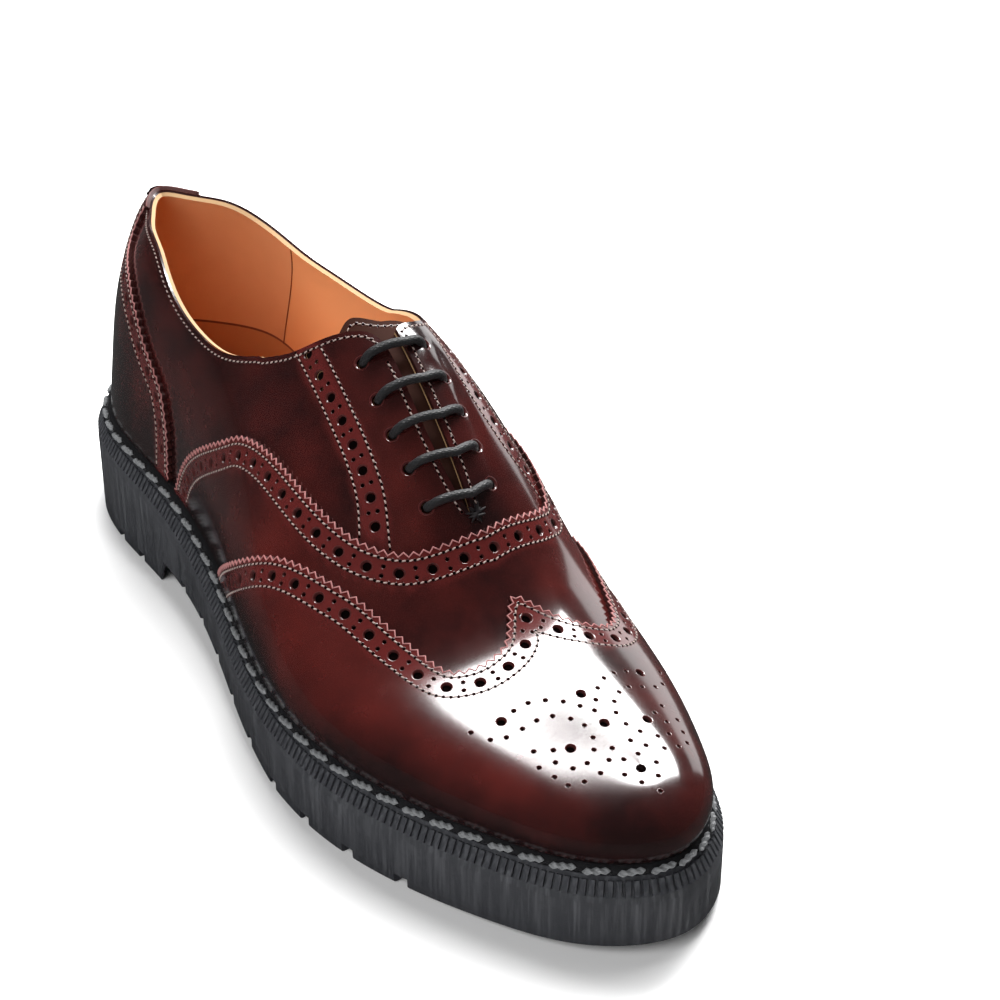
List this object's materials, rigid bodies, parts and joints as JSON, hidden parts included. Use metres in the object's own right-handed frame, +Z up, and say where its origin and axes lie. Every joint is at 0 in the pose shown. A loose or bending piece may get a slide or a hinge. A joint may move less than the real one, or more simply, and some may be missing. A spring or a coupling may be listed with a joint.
{
  "type": "brogue shoe",
  "caption": "Right wing-tip brogue Oxford in polished oxblood leather with closed lacing, a stitched welt and a ribbed black rubber sole with a low heel.",
  "frame": {"origin": "centre of the bounding box's base, on the plane the sole stands on", "axes": "-Y to the toe, +Y to the heel, +X to the wearer's inner (medial) side, +Z up"},
  "size_m": [0.103, 0.306, 0.1125],
  "materials": {
    "leather": "high-shine polished oxblood leather",
    "rubber": "satin black rubber",
    "lining": "matt tan lining leather",
    "lace": "waxed black cord"
  },
  "bodies": {
    "root": {"outsole": "rubber", "welt": "rubber", "insole": "lining", "upper": "leather", "vamp": "leather", "wing_cap": "leather", "counter": "leather", "back_tab": "leather", "tongue": "leather", "lace_bar_1": "lace", "lace_bar_2": "lace", "lace_bar_3": "lace", "lace_bar_4": "lace", "lace_bar_5": "lace"}
  },
  "joints": []
}
